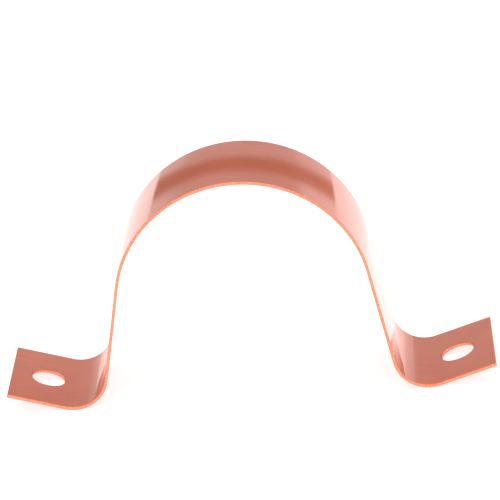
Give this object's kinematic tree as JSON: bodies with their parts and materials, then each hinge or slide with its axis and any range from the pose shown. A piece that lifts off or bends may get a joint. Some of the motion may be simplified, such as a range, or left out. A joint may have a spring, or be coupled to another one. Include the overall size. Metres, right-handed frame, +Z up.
{
  "type": "two-hole strap",
  "caption": "Copper strip rolled over a pipe, with legs that fold out into drilled feet, so that screws pull the pipe against a wall or joist.",
  "frame": {"origin": "on the surface that the bends stand on, midway between the legs and midway across the strip", "axes": "+X from the left foot to the right foot, +Y along the pipe, +Z up from the feet to the crown"},
  "size_m": [0.0804, 0.019, 0.0383],
  "materials": {
    "copper": "satin, mill-rolled bare copper with a fine grain along the strip"
  },
  "bodies": {
    "root": {"strap": "copper"}
  },
  "joints": []
}
